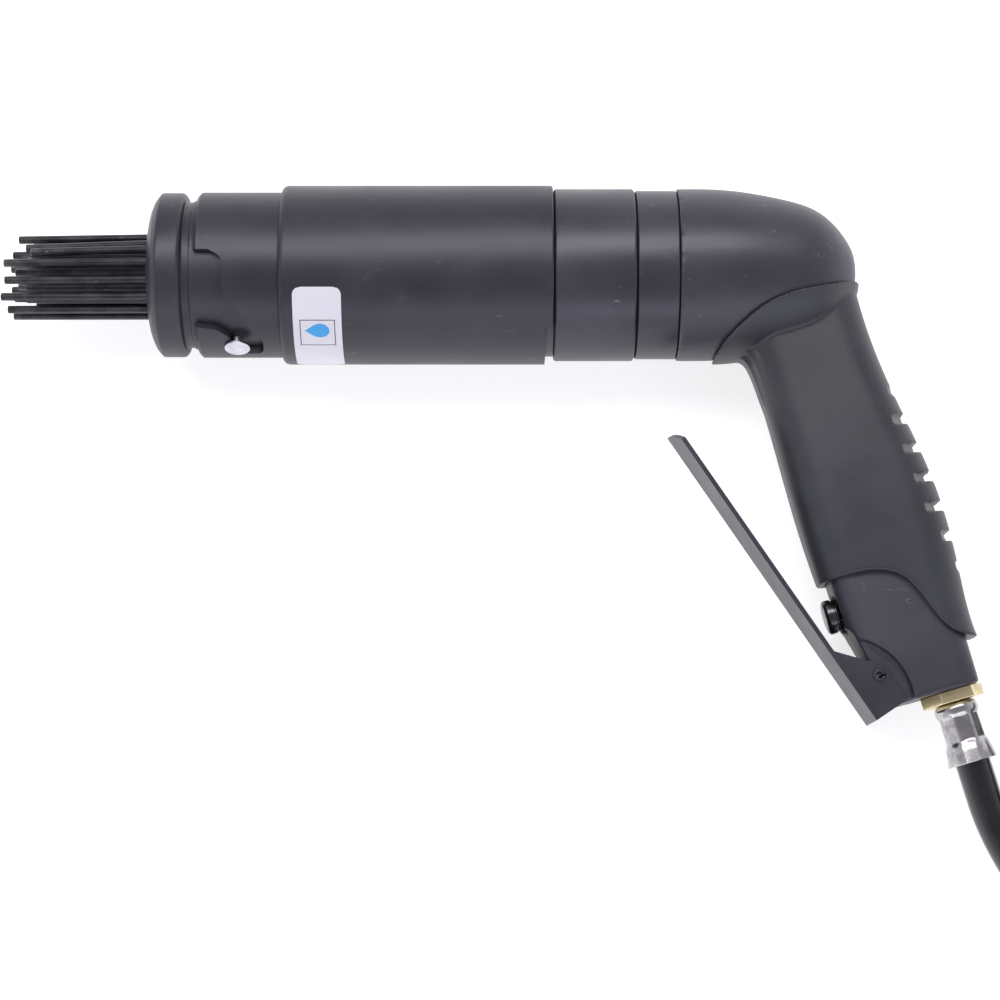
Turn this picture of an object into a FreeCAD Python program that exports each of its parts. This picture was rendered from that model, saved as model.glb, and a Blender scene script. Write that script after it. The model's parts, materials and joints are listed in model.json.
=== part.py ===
"""Pneumatic needle scaler, pistol type, lying on its side with its hose.

Everything is modelled in the tool's frame, in millimetres: x runs along the barrel with the needles
towards -x, z points away from the handle, and y = 0 is the plane of symmetry.  The handle has its own
frame (s, t): s runs down the handle from its bottom face and t runs towards the lever.  lay_down()
turns every piece onto its +y side, so that the barrel and the handle both rest on z = 0.
"""
import FreeCAD, Part
import math
import os

from FreeCAD import Vector

X_AXIS = Vector(1, 0, 0)
Y_AXIS = Vector(0, 1, 0)
ORIGIN = Vector(0, 0, 0)

# Needles: 3 mm rods with forged heads, in three rings.
NEEDLE_R = 1.5
NEEDLE_HEAD_R = 2.3
NEEDLE_HEAD_LENGTH = 3.0
NEEDLE_LENGTH = 127.0
NEEDLE_RINGS = ((14, 15.4, -17.0), (9, 9.3, 0.2), (5, 4.3, 19.2))
NEEDLE_CONVERGE_DEG = 0.4
NEEDLE_SLACK = (2.4, 2.0, 11.5, 8.8, 5.0, 9.5, 3.5, 7.0, 1.5, 10.0, 4.5, 3.5, 2.4, 0.6,
                5.4, 8.0, 3.0, 10.5, 6.0, 1.2, 7.5, 4.0, 9.0,
                6.5, 2.2, 8.6, 4.8, 10.2)
NEEDLE_TRAVEL = 12.4
NEEDLE_SAG_DEG = 0.5
NEEDLE_LEAN_DEG = {2: 0.7, 3: 1.5}
NEEDLE_HOLE_PLAY = 0.35

# Stations along the barrel, from the nose to the dome.
NOSE_FRONT_X = -132.0
NOSE_SHOULDER_X = -127.5
NOSE_BACK_X = -118.4
SPRING_SEAT_X = -120.0
SPRING_SEAT_THICK = 2.5
HOUSING_FRONT_X = -113.6
PIN_X = -98.4
SLEEVE_FRONT_X = -82.1
HOLDER_FRONT_X = -74.0
HOLDER_BACK_X = -64.0
FRONT_TUBE_BACK_X = -58.0
HOLDER_SKIRT_X = -47.5
CYLINDER_FRONT_X = -47.3
ANVIL_FRONT_X = -45.5
HOUSING_BACK_X = -40.0
ANVIL_BACK_X = -28.0
PISTON_FRONT_X = -27.5
PISTON_BACK_X = 2.5
SLEEVE_BACK_X = 19.9
REAR_RING_X = (20.2, 50.6)
VALVE_WEB_X = (29.5, 36.0)
LOCK_RING_X = (51.0, 66.6)
BODY_FRONT_X = 66.8
DOME_BACK_X = 134.8

# Barrel radii.
NOSE_R = 31.1
NOSE_HOLE_R = 17.6
GROOVE_R = 27.6
FRONT_TUBE_R = 28.2
CHAMBER_R = 24.5
HOUSING_R = 31.3
HOUSING_BORE_R = 28.5
SLEEVE_R = 33.9
SLEEVE_BORE_R = 31.6
REAR_RING_R = 32.6
LOCK_RING_R = 31.9
DOME_R = 32.6
CYLINDER_BORE_R = 17.0
CYLINDER_R = 23.5
SLIDE_PLAY = 0.05
SPRING_STEPS = 15

# Bayonet pins, two of them on one diameter, and the other marks round the barrel.
PIN_ANGLE = -71.8
SLOT_TURN = -13.8
LABEL_X = (-76.6, -58.6)
LABEL_ANGLES = (-21, -96)
EXHAUST_GAP_ANGLES = (-49, -159)
PIN_STEM_R = 2.25
PIN_HEAD_R = 4.75
PIN_HEAD_INNER = 31.5
PIN_HEAD_OUTER = 32.5

# Handle, in its own frame.
HANDLE_FOOT = Vector(166.95, 0, -158.2)
HANDLE_ANGLE = 16.1
CORE_BOTTOM_S = -0.1
CORE_HALF_WIDTH = 15.0
TONGUE_HALF_WIDTH = 11.5
GRIP_FRONT_T = 36.2
NOTCH_FIRST_S = -113.2
NOTCH_PITCH = 11.66
NOTCH_WIDTH = 3.9
NOTCHES = ((-11.6, -9.4, 12.0), (-12.0, -6.8, 16.0), (-12.9, -7.4, 16.5), (-13.5, -8.1, 16.5),
           (-13.9, -8.7, 16.4), (-14.2, -11.6, 14.4), (-15.0, -14.0, 11.3))
THROTTLE_S = -38.6
POCKET_CENTRE = (-4.9, 40.6)
POCKET_R = 25.0

# Lever: folded sheet, in a frame at its pivot with u along the sheet and v towards the handle.
LEVER_PIVOT = Vector(138.9, 0, -153.6)
LEVER_DIRECTION = Vector(-0.558, 0, 0.830)
LEVER_FACE = 10.4
LEVER_SHEET = 1.7
LEVER_HALF_WIDTH = 13.8
LEVER_TIP_NEAR_U = 112.7
LEVER_TIP_MIDDLE_U = 116.8
LEVER_TIP_FAR_U = 119.2
LEVER_END_U = -13.0
LEVER_PIN_R = 2.35

# Throttle valve, along t.
BUTTON_R = 6.5
BUTTON_FRONT_T = 36.9
BUTTON_BACK_T = 31.9
BUTTON_STEM_R = 3.0
BUSH_FRONT_T = 28.6
BUSH_BACK_T = 20.5
VALVE_SEAT_T = 12.0
VALVE_CHAMBER_T = -3.0
VALVE_CHAMBER_R = 8.0

# Air inlet, along s.
INLET_HEX_FLATS = 20.6
INLET_HEX_LENGTH = 4.4
INLET_BORE_R = 4.0
FERRULE_START_S = 4.6
FERRULE_END_S = 27.4
HOSE_R = 6.5

# The hose's route on the floor, in the tool's x and z, with heights above the floor.
COIL_R = 78.0
COIL_CENTRE = Vector(284.0, -195.0, 0)
COIL_LAYERS = 2
PLUG_NOSE_R = 5.95
PLUG_NOSE_START = 18.0
PLUG_NOSE_END = 34.0
PLUG_HEIGHT = 9.1

REST_TILT = 6.75


def handle_point(s, t, y=0.0):
    """A point given in the handle's frame."""
    angle = math.radians(HANDLE_ANGLE)
    x = HANDLE_FOOT.x + s * math.sin(angle) - t * math.cos(angle)
    z = HANDLE_FOOT.z - s * math.cos(angle) - t * math.sin(angle)
    return Vector(x, y, z)


def handle_down():
    return handle_point(1, 0) - handle_point(0, 0)


def handle_front():
    return handle_point(0, 1) - handle_point(0, 0)


def lever_point(u, v, y=0.0):
    """A point given in the lever's frame, with v = -LEVER_FACE at the sheet's outer face."""
    inward = Vector(-LEVER_DIRECTION.z, 0, LEVER_DIRECTION.x) * -1
    return LEVER_PIVOT + LEVER_DIRECTION * u + inward * v + Vector(0, y, 0)


def rod(start, direction, length, radius):
    return Part.makeCylinder(radius, length, start, direction)


def ring(x_start, x_end, outer, inner):
    """A plain tube about the barrel's axis."""
    start = Vector(x_start, 0, 0)
    body = rod(start, X_AXIS, x_end - x_start, outer)
    return body.cut(rod(start, X_AXIS, x_end - x_start, inner))


def turned(profile):
    """A solid turned about the barrel's axis from (x, radius) corners."""
    wire = Part.makePolygon([Vector(x, 0, r) for x, r in profile + profile[:1]])
    return Part.Face(wire).revolve(ORIGIN, X_AXIS, 360)


def slab(corners, y_start, y_end):
    """A prism across the tool from corners in the xz plane."""
    wire = Part.makePolygon([Vector(p.x, y_start, p.z) for p in corners + corners[:1]])
    return Part.Face(wire).extrude(Vector(0, y_end - y_start, 0))


def around(x, radius, angle):
    """A point at an angle round the barrel: 0 is the -y side and 90 is the top."""
    turn = math.radians(angle)
    return Vector(x, -radius * math.cos(turn), radius * math.sin(turn))


def spring(start, direction, length, mean_radius, wire_radius, turns):
    """A coil spring drawn with straight facets: its eight-sided wire has a section every 24 degrees."""
    run = length - 2 * wire_radius
    steps = turns * SPRING_STEPS
    sections = []
    for index in range(steps + 1):
        bearing = math.tau * turns * index / steps
        outward = Vector(math.cos(bearing), math.sin(bearing), 0)
        height = wire_radius + run * index / steps
        corners = []
        for side in range(8):
            angle = math.tau * (side + 0.5) / 8
            corner = outward * (mean_radius + wire_radius * math.cos(angle))
            corners.append(corner + Vector(0, 0, height + wire_radius * math.sin(angle)))
        sections.append(Part.makePolygon(corners + corners[:1]))
    coil = Part.makeLoft(sections, True, True)
    place = FreeCAD.Placement(start, FreeCAD.Rotation(Vector(0, 0, 1), direction))
    return coil.transformed(place.toMatrix(), True)


# ---------------------------------------------------------------- needles and nose

def needle_layout():
    """For each needle: a point on its axis at the holder's back face, its direction and its slack."""
    layout = []
    for count, radius, phase in NEEDLE_RINGS:
        for index in range(count):
            seat = around(HOLDER_BACK_X, radius, phase + index * 360.0 / count)
            lean = NEEDLE_SAG_DEG + NEEDLE_LEAN_DEG.get(len(layout), 0.0)
            inward = around(0, -1, phase + index * 360.0 / count)
            direction = Vector(-1, 0, -math.tan(math.radians(lean)))
            direction += inward * math.tan(math.radians(NEEDLE_CONVERGE_DEG))
            direction.normalize()
            layout.append((seat, direction, NEEDLE_SLACK[len(layout)]))
    return layout


def make_needle(seat, direction, slack):
    """A needle whose head stands slack mm behind the holder's back face."""
    neck = seat - direction * slack
    shank = rod(neck, direction, NEEDLE_LENGTH - NEEDLE_HEAD_LENGTH, NEEDLE_R)
    head = rod(neck - direction * NEEDLE_HEAD_LENGTH, direction, NEEDLE_HEAD_LENGTH, NEEDLE_HEAD_R)
    needle = shank.fuse(head).removeSplitter()
    tip_edges = [e for e in needle.Edges if e.CenterOfMass.x < NOSE_FRONT_X and e.Closed]
    return needle.makeChamfer(0.35, tip_edges)


def make_needle_holder():
    """A drilled disc with a skirt behind it that shields the needles' heads."""
    outer = CHAMBER_R - SLIDE_PLAY * 2
    holder = rod(Vector(HOLDER_FRONT_X, 0, 0), X_AXIS, HOLDER_SKIRT_X - HOLDER_FRONT_X, outer)
    cup_r = outer - 3.6
    holder = holder.cut(rod(Vector(HOLDER_BACK_X, 0, 0), X_AXIS, 30, cup_r))
    holes = []
    for seat, direction, slack in needle_layout():
        holes.append(rod(seat - direction * 2, direction, 16, NEEDLE_R + NEEDLE_HOLE_PLAY))
    return holder.cut(Part.makeCompound(holes))


def make_front_tube():
    """The nose: a domed flange in front and a barrel that reaches back over the needle holder."""
    profile = [
        (NOSE_FRONT_X, NOSE_HOLE_R + 1.0),
        (NOSE_FRONT_X, 21.5),
        (NOSE_FRONT_X + 0.9, 25.2),
        (NOSE_FRONT_X + 2.4, 28.6),
        (NOSE_SHOULDER_X, NOSE_R),
        (NOSE_BACK_X - 1.2, NOSE_R),
        (NOSE_BACK_X, NOSE_R - 1.2),
        (NOSE_BACK_X, GROOVE_R),
        (NOSE_BACK_X + 3.0, GROOVE_R),
        (NOSE_BACK_X + 3.0, FRONT_TUBE_R),
        (FRONT_TUBE_BACK_X - 0.8, FRONT_TUBE_R),
        (FRONT_TUBE_BACK_X, FRONT_TUBE_R - 0.8),
        (FRONT_TUBE_BACK_X, CHAMBER_R),
        (SPRING_SEAT_X - 0.1, CHAMBER_R),
        (SPRING_SEAT_X - 0.1, NOSE_HOLE_R),
        (NOSE_FRONT_X + 1.0, NOSE_HOLE_R),
    ]
    tube = turned(profile)
    for turn in (0, 180):
        start = around(PIN_X, 0, PIN_ANGLE + turn)
        outward = around(0, 1, PIN_ANGLE + turn)
        tube = tube.cut(rod(start + outward * 20, outward, 20, PIN_STEM_R))
    return tube


def make_bayonet_pins():
    """Two headed pins pressed into the front tube, which catch in the housing's slots."""
    pins = []
    for turn in (0, 180):
        outward = around(0, 1, PIN_ANGLE + turn)
        base = Vector(PIN_X, 0, 0)
        stem = rod(base + outward * 25.2, outward, PIN_HEAD_OUTER - 25.2, PIN_STEM_R)
        head = rod(base + outward * PIN_HEAD_INNER, outward, PIN_HEAD_OUTER - PIN_HEAD_INNER, PIN_HEAD_R)
        pins.append(stem.fuse(head).removeSplitter())
    return Part.makeCompound(pins)


def make_spring_seat():
    """A loose washer between the needle spring and the nose."""
    return ring(SPRING_SEAT_X, SPRING_SEAT_X + SPRING_SEAT_THICK, CHAMBER_R - 0.15, NOSE_HOLE_R + 0.4)


def make_needle_spring():
    start = SPRING_SEAT_X + SPRING_SEAT_THICK + 0.1
    length = HOLDER_FRONT_X - 0.1 - start
    return spring(Vector(start, 0, 0), X_AXIS, length, 21.0, 1.5, 6)


# ---------------------------------------------------------------- barrel

def wall_block(front_a, back_a, angle_a, front_b, back_b, angle_b):
    """A block through the barrel's wall, between two angles and two stations at each of them."""
    loops = []
    for radius in (HOUSING_BORE_R - 4, SLEEVE_R + 4):
        corners = [around(front_a, radius, angle_a), around(back_a, radius, angle_a),
                   around(back_b, radius, angle_b), around(front_b, radius, angle_b)]
        loops.append(Part.makePolygon(corners + corners[:1]))
    block = Part.makeLoft(loops, True, True)
    if block.Volume < 0:
        block.reverse()
    return block


def station_at(edge, angle):
    """The x of a slot's edge at an angle, between its listed corners."""
    for (angle_a, x_a), (angle_b, x_b) in zip(edge, edge[1:]):
        if angle_b <= angle <= angle_a:
            return x_a + (x_b - x_a) * (angle_a - angle) / (angle_a - angle_b)
    return edge[-1][1]


def bayonet_slot(turn):
    """An open slot: a wide mouth, a ramp and a pocket that the pin's stem sits in."""
    mouth = HOUSING_FRONT_X - 3
    back_edge = [(18, -108.3), (15.5, -105.2), (12, -103.0), (-9, -103.0), (-13, -102.2), (-47, -89.6),
                 (-50, -88.9), (-54, -88.6), (-62, -88.6), (-66, -89.2), (-70, -90.5)]
    front_edge = [(18, mouth), (-38, mouth), (-38.5, -110.0), (-39.5, -107.0), (-41, -104.8),
                  (-47, -101.4), (-52, PIN_X - PIN_STEM_R), (-70, PIN_X - PIN_STEM_R)]
    blocks = []
    step = 2
    for angle in range(18, -70, -step):
        front_a, front_b = station_at(front_edge, angle), station_at(front_edge, angle - step)
        back_a, back_b = station_at(back_edge, angle), station_at(back_edge, angle - step)
        blocks.append(wall_block(front_a, back_a, angle + turn, front_b, back_b, angle - step + turn))
    return blocks[0].multiFuse(blocks[1:])


def angular_band(x_start, x_end, angle_start, angle_end, steps):
    """A block through the wall that covers a stretch of the barrel's round."""
    blocks = []
    for index in range(steps):
        angle_a = angle_start + (angle_end - angle_start) * index / steps
        angle_b = angle_start + (angle_end - angle_start) * (index + 1) / steps
        blocks.append(wall_block(x_start, x_end, angle_a, x_start, x_end, angle_b))
    return blocks[0].multiFuse(blocks[1:])


def make_bayonet_housing():
    """The tube that the nose locks into, with its two open slots."""
    profile = [
        (HOUSING_FRONT_X, HOUSING_BORE_R + 0.6),
        (HOUSING_FRONT_X, HOUSING_R - 1.2),
        (HOUSING_FRONT_X + 1.2, HOUSING_R),
        (HOUSING_BACK_X, HOUSING_R),
        (HOUSING_BACK_X, HOUSING_BORE_R),
        (HOUSING_FRONT_X + 0.6, HOUSING_BORE_R),
    ]
    housing = turned(profile)
    for turn in (0, 180):
        housing = housing.cut(bayonet_slot(turn + SLOT_TURN))
    return housing


def make_anvil():
    """The slug that passes the piston's blow to the needles' heads."""
    radius = CYLINDER_BORE_R - SLIDE_PLAY
    profile = [
        (ANVIL_FRONT_X, 0), (ANVIL_FRONT_X, radius - 1), (ANVIL_FRONT_X + 1, radius), (-34, radius),
        (-34, 11.0), (ANVIL_BACK_X - 0.8, 11.0), (ANVIL_BACK_X, 10.2), (ANVIL_BACK_X, 0),
    ]
    return turned(profile)


def make_cylinder():
    """The barrel that the piston runs in, screwed into the housing at its front collar."""
    collar_r = HOUSING_BORE_R - SLIDE_PLAY
    seal_r = SLEEVE_BORE_R - 0.1
    profile = [
        (CYLINDER_FRONT_X, CYLINDER_BORE_R), (CYLINDER_FRONT_X, collar_r),
        (HOUSING_BACK_X + 0.1, collar_r), (HOUSING_BACK_X + 0.1, HOUSING_R), (-34, HOUSING_R),
        (-34, CYLINDER_R), (4, CYLINDER_R), (4, seal_r), (7, seal_r), (7, seal_r - 2.4),
        (9.6, seal_r - 2.4), (9.6, seal_r), (12, seal_r), (12, 30.9), (SLEEVE_BACK_X, 30.9),
        (SLEEVE_BACK_X, CYLINDER_BORE_R),
    ]
    barrel = turned(profile)
    for angle in (45, 135, 225, 315):
        port = rod(around(-10, 0, angle), around(0, 1, angle), 40, 3.0)
        barrel = barrel.cut(port)
    return barrel


def make_piston():
    """A plain steel slug with two oil grooves."""
    radius = CYLINDER_BORE_R - SLIDE_PLAY
    groove = radius - 0.8
    profile = [(PISTON_FRONT_X, 0), (PISTON_FRONT_X, 12.5), (-24.5, 12.5), (-24.5, radius)]
    for x in (-16.0, -6.0):
        profile += [(x, radius), (x, groove), (x + 1.6, groove), (x + 1.6, radius)]
    profile += [(PISTON_BACK_X - 1, radius), (PISTON_BACK_X, radius - 1), (PISTON_BACK_X, 0)]
    return turned(profile)


def make_body_sleeve():
    """The outer sleeve, with an exhaust gap along the lower half of its back edge."""
    lip = 2.4
    profile = [
        (SLEEVE_FRONT_X, SLEEVE_BORE_R), (SLEEVE_FRONT_X, SLEEVE_R - lip * 0.8),
        (SLEEVE_FRONT_X + lip * 0.3, SLEEVE_R - lip * 0.25), (SLEEVE_FRONT_X + lip, SLEEVE_R),
        (SLEEVE_BACK_X - 0.6, SLEEVE_R), (SLEEVE_BACK_X, SLEEVE_R - 0.6), (SLEEVE_BACK_X, SLEEVE_BORE_R),
    ]
    sleeve = turned(profile)
    return sleeve.cut(angular_band(SLEEVE_BACK_X - 3.0, SLEEVE_BACK_X + 3.0, *EXHAUST_GAP_ANGLES, 5))


def make_oil_label():
    """A thin sticker that wraps round the lower near side of the sleeve."""
    skin = ring(*LABEL_X, SLEEVE_R + 0.12, SLEEVE_R)
    return skin.common(angular_band(*LABEL_X, *LABEL_ANGLES, 4))


def make_body_o_rings():
    """The seal between the cylinder and the sleeve, and the one behind the rear ring."""
    front = Part.makeTorus(SLEEVE_BORE_R - 1.35, 1.15, Vector(8.3, 0, 0), X_AXIS)
    rear = Part.makeTorus(24.2, 1.0, Vector(LOCK_RING_X[0] + 1.2, 0, 0), X_AXIS)
    return Part.makeCompound([front, rear])


def make_rear_ring():
    """The ring behind the sleeve, which holds the valve and closes it with a ported web."""
    start, end = REAR_RING_X
    profile = [
        (start, 26.0), (start, REAR_RING_R - 0.7), (start + 0.7, REAR_RING_R), (end - 0.7, REAR_RING_R),
        (end, REAR_RING_R - 0.7), (end, 26.0), (VALVE_WEB_X[1], 26.0), (VALVE_WEB_X[1], 0),
        (VALVE_WEB_X[0], 0), (VALVE_WEB_X[0], 26.0),
    ]
    body = turned(profile)
    for angle in range(0, 360, 60):
        body = body.cut(rod(around(VALVE_WEB_X[0] - 1, 15, angle), X_AXIS, 12, 3.5))
    return body


def make_valve_seat():
    """The ported plate that closes the cylinder's back end."""
    plate = rod(Vector(REAR_RING_X[0] + 0.1, 0, 0), X_AXIS, 9.0, 25.9)
    pocket = rod(Vector(REAR_RING_X[0] + 5.0, 0, 0), X_AXIS, 10, 20.0)
    plate = plate.cut(pocket)
    for angle in range(30, 390, 60):
        plate = plate.cut(rod(around(REAR_RING_X[0] - 1, 11, angle), X_AXIS, 12, 2.5))
    return plate


def make_valve_disc():
    """The free disc that flutters to send air to either end of the cylinder."""
    disc = rod(Vector(REAR_RING_X[0] + 5.2, 0, 0), X_AXIS, 2.2, 19.7)
    return disc.cut(rod(Vector(REAR_RING_X[0], 0, 0), X_AXIS, 12, 5.0))


def make_lock_ring():
    start, end = LOCK_RING_X
    profile = [
        (start, 25.4), (start, LOCK_RING_R - 0.5), (start + 0.5, LOCK_RING_R), (end - 0.5, LOCK_RING_R),
        (end, LOCK_RING_R - 0.5), (end, 22.0), (start + 4, 22.0), (start + 4, 25.4),
    ]
    return turned(profile)


# ---------------------------------------------------------------- pistol body and grip

def dome_solid(extra):
    """The body's round back end, grown outwards by extra."""
    stations = [(85.0, 32.2), (106.0, 28.9), (121.8, 23.2), (131.2, 13.4)]
    points = [Vector(BODY_FRONT_X, 0, DOME_R + extra)]
    points += [Vector(x + extra * 0.5, 0, r + extra) for x, r in stations]
    points.append(Vector(DOME_BACK_X + extra, 0, 0))
    curve = Part.BSplineCurve()
    curve.interpolate(points, InitialTangent=Vector(1, 0, 0), FinalTangent=Vector(0, 0, -1))
    front = Vector(BODY_FRONT_X, 0, 0)
    outline = Part.Wire([curve.toShape(), Part.makeLine(points[-1], front), Part.makeLine(front, points[0])])
    return Part.Face(outline).revolve(ORIGIN, X_AXIS, 360)


def handle_section(s, t_front, t_rear, half_width, corner):
    """A rounded rectangle across the handle at s."""
    corners = [(t_rear, -half_width), (t_front, -half_width), (t_front, half_width), (t_rear, half_width)]
    edges = []
    for index in range(4):
        t0, y0 = corners[index]
        t1, y1 = corners[(index + 1) % 4]
        t2, y2 = corners[(index + 2) % 4]
        dt1, dy1 = sign(t1 - t0), sign(y1 - y0)
        dt2, dy2 = sign(t2 - t1), sign(y2 - y1)
        line_start = handle_point(s, t0 + dt1 * corner, y0 + dy1 * corner)
        line_end = handle_point(s, t1 - dt1 * corner, y1 - dy1 * corner)
        arc_end = handle_point(s, t1 + dt2 * corner, y1 + dy2 * corner)
        reach = corner * (1 - math.sqrt(0.5))
        middle = handle_point(s, t1 - dt1 * reach + dt2 * reach, y1 - dy1 * reach + dy2 * reach)
        edges.append(Part.makeLine(line_start, line_end))
        edges.append(Part.Arc(line_end, middle, arc_end).toShape())
    return Part.Wire(edges)


def sign(value):
    return (value > 1e-9) - (value < -1e-9)


def handle_core():
    """The metal part of the handle, inside the grip."""
    sections = [
        handle_section(-150, 31.0, -5.0, 13.0, 9.0),
        handle_section(-100, 32.0, -8.0, 14.0, 9.0),
        handle_section(-45, 32.0, -10.0, CORE_HALF_WIDTH, 9.0),
        handle_section(CORE_BOTTOM_S, 31.0, -10.0, CORE_HALF_WIDTH, 9.0),
    ]
    return Part.makeLoft(sections, True, False)


def grip_form():
    """The outside of the moulded grip, before its edges are trimmed."""
    sections = [
        handle_section(-169.8, 38.0, -11.6, 17.0, 14.0),
        handle_section(-139.8, 35.8, -10.4, 17.0, 14.0),
        handle_section(-111.8, GRIP_FRONT_T - 0.8, -12.6, 17.6, 14.5),
        handle_section(-81.8, GRIP_FRONT_T, -16.5, 18.0, 15.0),
        handle_section(-51.8, GRIP_FRONT_T - 0.5, -16.8, 18.0, 15.0),
        handle_section(-13.8, GRIP_FRONT_T - 1.8, -15.4, 17.4, 14.5),
    ]
    return Part.makeLoft(sections, True, False)


def smooth_edge(points):
    curve = Part.BSplineCurve()
    curve.interpolate(points)
    return curve.toShape()


def grip_zone():
    """Everything between the grip's upper edge and its lower edge, as a block across the tool."""
    upper = [Vector(x, 0, z) for x, z in (
        (78.0, -37.0), (81.0, -32.6), (84.6, -28.3), (91.6, -22.0), (99.4, -16.6),
        (110.9, -11.8), (123.2, -8.5), (132.0, -5.4), (140.0, -3.6))]
    lower = [handle_point(s, t) for s, t in (
        (-16.5, -24.0), (-16.7, -13.0), (-19.1, -7.2), (-24.0, -2.4), (-30.5, 0.5), (-38.7, 3.6),
        (-45.0, 7.6), (-48.6, 13.5), (-50.4, 22.5), (-51.4, 40.0))]
    rear = [upper[-1], Vector(195, 0, -3.4), Vector(205, 0, -120), lower[0]]
    front = [lower[-1], handle_point(-110, 60.0), upper[0]]
    edges = [smooth_edge(upper)]
    edges += [Part.makeLine(rear[i], rear[i + 1]) for i in range(len(rear) - 1)]
    edges.append(smooth_edge(lower))
    edges += [Part.makeLine(front[i], front[i + 1]) for i in range(len(front) - 1)]
    face = Part.Face(Part.Wire(edges))
    face.translate(Vector(0, -45, 0))
    return face.extrude(Vector(0, 90, 0))


def underside_flare():
    """The web of grip between the body's underside and the handle, stepped back towards its sides."""
    curve = ((84.0, -34.3), (88.9, -34.2), (91.4, -35.0), (93.4, -37.4), (95.0, -40.8), (97.2, -47.0),
             (99.7, -53.9))
    layers = []
    for half_width, inset in ((4.5, 0.0), (9.0, 1.2), (12.5, 3.6)):
        shift = Vector(inset, -half_width, 0.29 * half_width)
        outline = smooth_edge([Vector(x, 0, z) + shift for x, z in curve])
        behind = [Vector(x, 0, z) + shift for x, z in (curve[-1], (112.0, -54.0), (112.0, -20.0),
                                                       (84.0, -20.0), curve[0])]
        edges = [outline] + [Part.makeLine(a, b) for a, b in zip(behind, behind[1:])]
        layers.append(Part.Face(Part.Wire(edges)).extrude(Vector(0, 2 * half_width, 0)))
    return layers[0].multiFuse(layers[1:])


def thumb_notches():
    """Grooves across the back of the grip, each with its floor's t and the t and y where it runs out."""
    cutters = []
    for index, (floor, end_t, end_y) in enumerate(NOTCHES):
        s = NOTCH_FIRST_S + NOTCH_PITCH * index - NOTCH_WIDTH / 2
        side = [(floor, 6.0), (end_t, end_y), (end_t, 30.0), (-32.0, 30.0)]
        outline = side + [(t, -y) for t, y in reversed(side)]
        corners = [handle_point(s, t, y) for t, y in outline]
        face = Part.Face(Part.makePolygon(corners + corners[:1]))
        cutters.append(face.extrude(handle_down() * NOTCH_WIDTH))
    return Part.makeCompound(cutters)


def make_grip_cover():
    """The rubber grip, moulded over the core and the underside of the body."""
    form = grip_form().fuse(dome_solid(1.5))
    form = form.fuse(underside_flare())
    cover = form.common(grip_zone())
    cover = cover.cut(dome_solid(0.0))
    cover = cover.cut(handle_core())
    cover = cover.cut(thumb_notches())
    return largest(cover)


def largest(shape):
    return max(shape.Solids, key=lambda solid: solid.Volume)


def make_pistol_body():
    """The alloy casting: round back end, handle core, air ways and the lever's tongue."""
    body = dome_solid(0.0).fuse(handle_core())
    chamber = turned([(BODY_FRONT_X - 1, 0), (BODY_FRONT_X - 1, 26.0), (95, 25.0), (112, 14), (112, 0)])
    body = body.cut(chamber)
    side = handle_point(POCKET_CENTRE[0], POCKET_CENTRE[1])
    for y_start, y_end in ((-40, -TONGUE_HALF_WIDTH), (TONGUE_HALF_WIDTH, 40)):
        pocket = rod(side + Vector(0, y_start, 0), Y_AXIS, y_end - y_start, POCKET_R)
        body = body.cut(pocket)
    body = body.cut(rod(LEVER_PIVOT - Y_AXIS * 20, Y_AXIS, 40, LEVER_PIN_R + 0.02))
    body = body.cut(front_corner_cut())
    for cutter in air_ways():
        body = body.cut(cutter)
    return largest(body)


def front_corner_cut():
    """Clears the tongue's lower front corner, which the closing lever sweeps past."""
    outline = ((-36.0, 36.0), (-31.0, 30.2), (-22.0, 28.2), (3.0, 26.0), (3.0, 45.0), (-36.0, 45.0))
    corners = [handle_point(s, t) for s, t in outline]
    return slab(corners, -30, 30)


def air_ways():
    """Inlet bore, valve chamber, button bore and the passage up into the body."""
    down = handle_down()
    front = handle_front()
    cuts = [
        rod(handle_point(0.5, 0), down * -1, 15.5, 7.0),
        rod(handle_point(0, 0), down * -1, 40, 5.0),
        rod(handle_point(THROTTLE_S, -14), front, 14 + VALVE_SEAT_T, VALVE_CHAMBER_R),
        rod(handle_point(THROTTLE_S, 0), front, BUSH_FRONT_T, 4.5),
        rod(handle_point(THROTTLE_S, BUSH_BACK_T), front, 20, 5.0),
        rod(handle_point(THROTTLE_S, BUSH_FRONT_T), front, 20, BUTTON_R + 0.8),
        rod(handle_point(THROTTLE_S + 2, 16.5), down * -1, 108, 4.0),
    ]
    return cuts


def make_valve_plug():
    """The plug that closes the valve chamber from behind, under the grip."""
    start = handle_point(THROTTLE_S, -9.4)
    plug = rod(start, handle_front(), 9.4 + VALVE_CHAMBER_T, VALVE_CHAMBER_R - 0.03)
    return plug.cut(rod(start, handle_front(), 3.0, 2.5))


# ---------------------------------------------------------------- lever and throttle valve

def cheek_outline():
    """The lever's side ear, round about the pivot."""
    face = -LEVER_FACE
    return [(18.5, face), (3.4, 2.3), (2.2, 3.3), (0.4, 3.7), (-11.6, 3.7), (-12.6, 3.3), (LEVER_END_U, 2.3),
            (LEVER_END_U, face)]


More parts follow.
